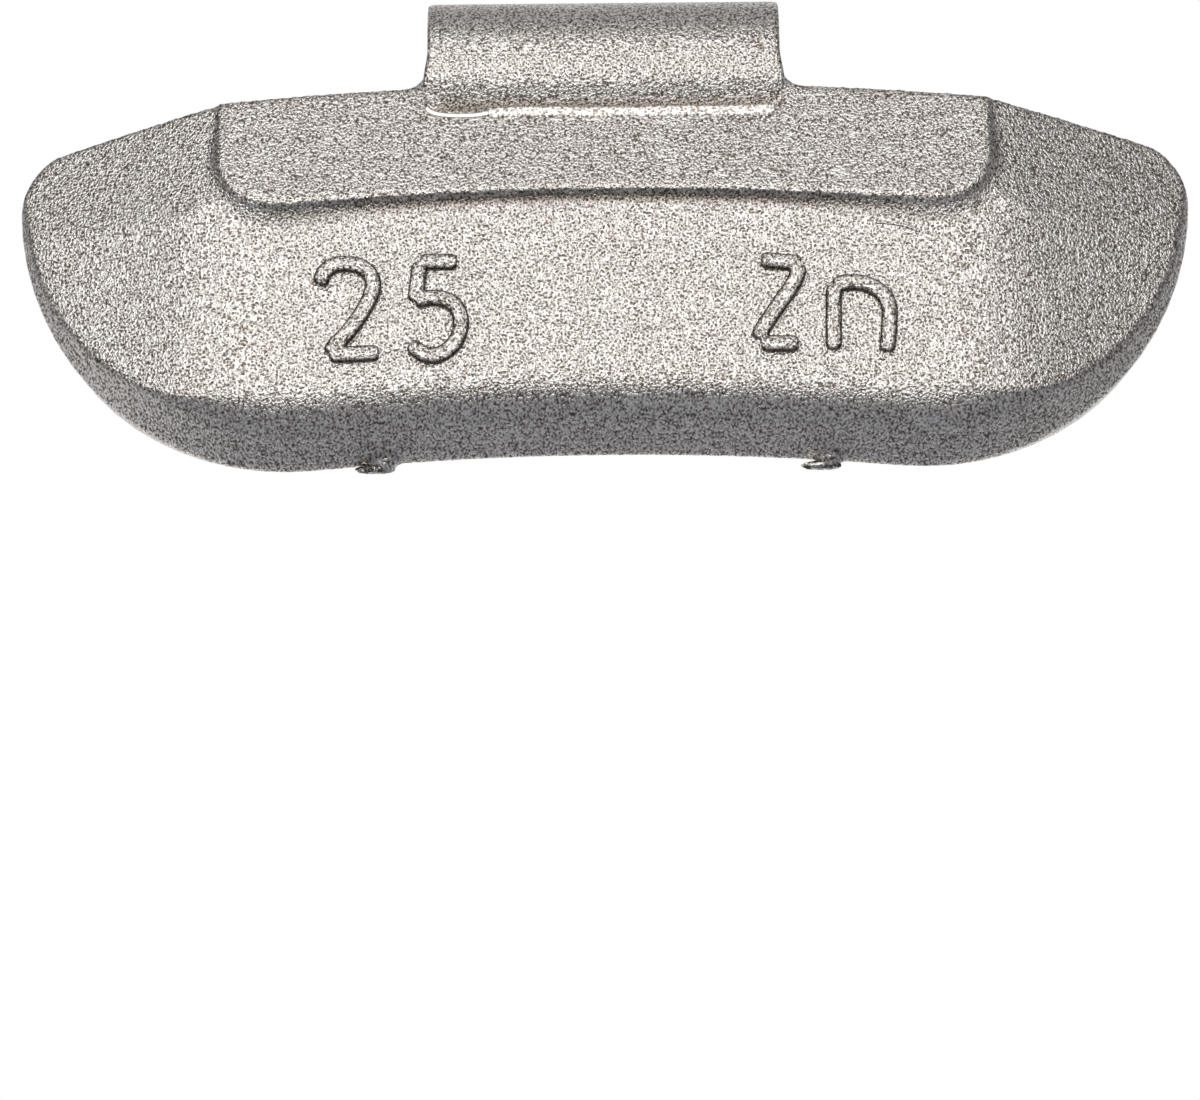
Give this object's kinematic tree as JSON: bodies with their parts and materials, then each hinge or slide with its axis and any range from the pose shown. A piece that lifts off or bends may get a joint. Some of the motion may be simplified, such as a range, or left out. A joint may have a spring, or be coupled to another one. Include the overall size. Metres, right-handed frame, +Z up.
{
  "type": "wheel balance weight",
  "caption": "Arc-shaped cast zinc weight with a sprung steel clip that hooks over a wheel's rim flange.",
  "frame": {"origin": "centre of the clip's hook bend, where the edge of the rim flange lies, in the middle of the weight's length", "axes": "+X along the weight's length, to the right seen from the front; +Y from the front face back towards the wheel; +Z up, away from the wheel's axle"},
  "size_m": [0.0482, 0.009, 0.02],
  "materials": {
    "coated_zinc": "silver grey metallic powder coat over die-cast zinc, fine sparkle",
    "coated_steel": "the same silver grey metallic powder coat over spring steel strip"
  },
  "bodies": {
    "root": {"weight_body": "coated_zinc", "spring_clip": "coated_steel"}
  },
  "joints": []
}
